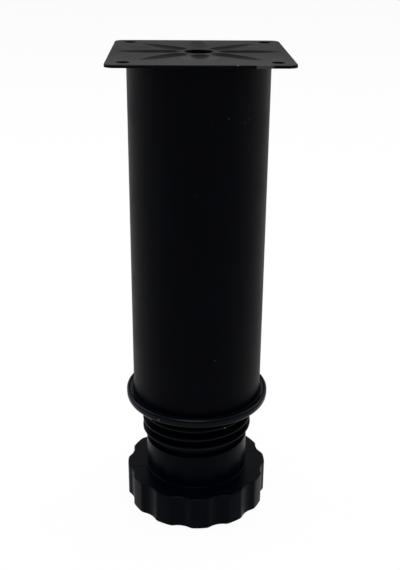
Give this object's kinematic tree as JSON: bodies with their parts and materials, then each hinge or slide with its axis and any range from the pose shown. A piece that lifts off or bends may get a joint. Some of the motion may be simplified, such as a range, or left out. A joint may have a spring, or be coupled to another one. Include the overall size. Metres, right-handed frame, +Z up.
{
  "type": "adjustable cabinet leg",
  "caption": "Round black steel cabinet leg with a square screw-on plate and a fluted plastic foot that screws in and out to set its height.",
  "frame": {"origin": "on the leg's axis at floor level, under the foot, with the foot standing out as in the picture", "axes": "+Z up along the tube's axis towards the mounting plate; +X and +Y along the plate's sides"},
  "size_m": [0.062, 0.062, 0.182],
  "materials": {
    "plate_coat": "satin black powder coat on pressed steel sheet",
    "tube_coat": "satin black powder coat on steel tube",
    "insert_plastic": "moulded black plastic, semi-gloss",
    "foot_plastic": "moulded black plastic, semi-gloss",
    "glide_plastic": "matt dark grey plastic"
  },
  "bodies": {
    "leg": {"mounting_plate": "plate_coat", "leg_tube": "tube_coat", "weld_tacks": "tube_coat", "threaded_insert": "insert_plastic"},
    "glide": {"floor_glide": "glide_plastic"},
    "foot": {"screw_foot": "foot_plastic"}
  },
  "joints": [
    {"name": "foot_lift", "type": "slide", "parent": "leg", "child": "glide", "axis": [0, 0, 1], "range_m": [-0.0061, 0.0316]},
    {"name": "foot_turn", "type": "hinge", "parent": "glide", "child": "foot", "pos_m": [0, 0, 0], "axis": [0, 0, 1], "range_deg": [-540, 2835]}
  ],
  "couplings": [
    {"joint": "foot_lift", "follows": "foot_turn", "m_per_rad": 0.00063662}
  ]
}
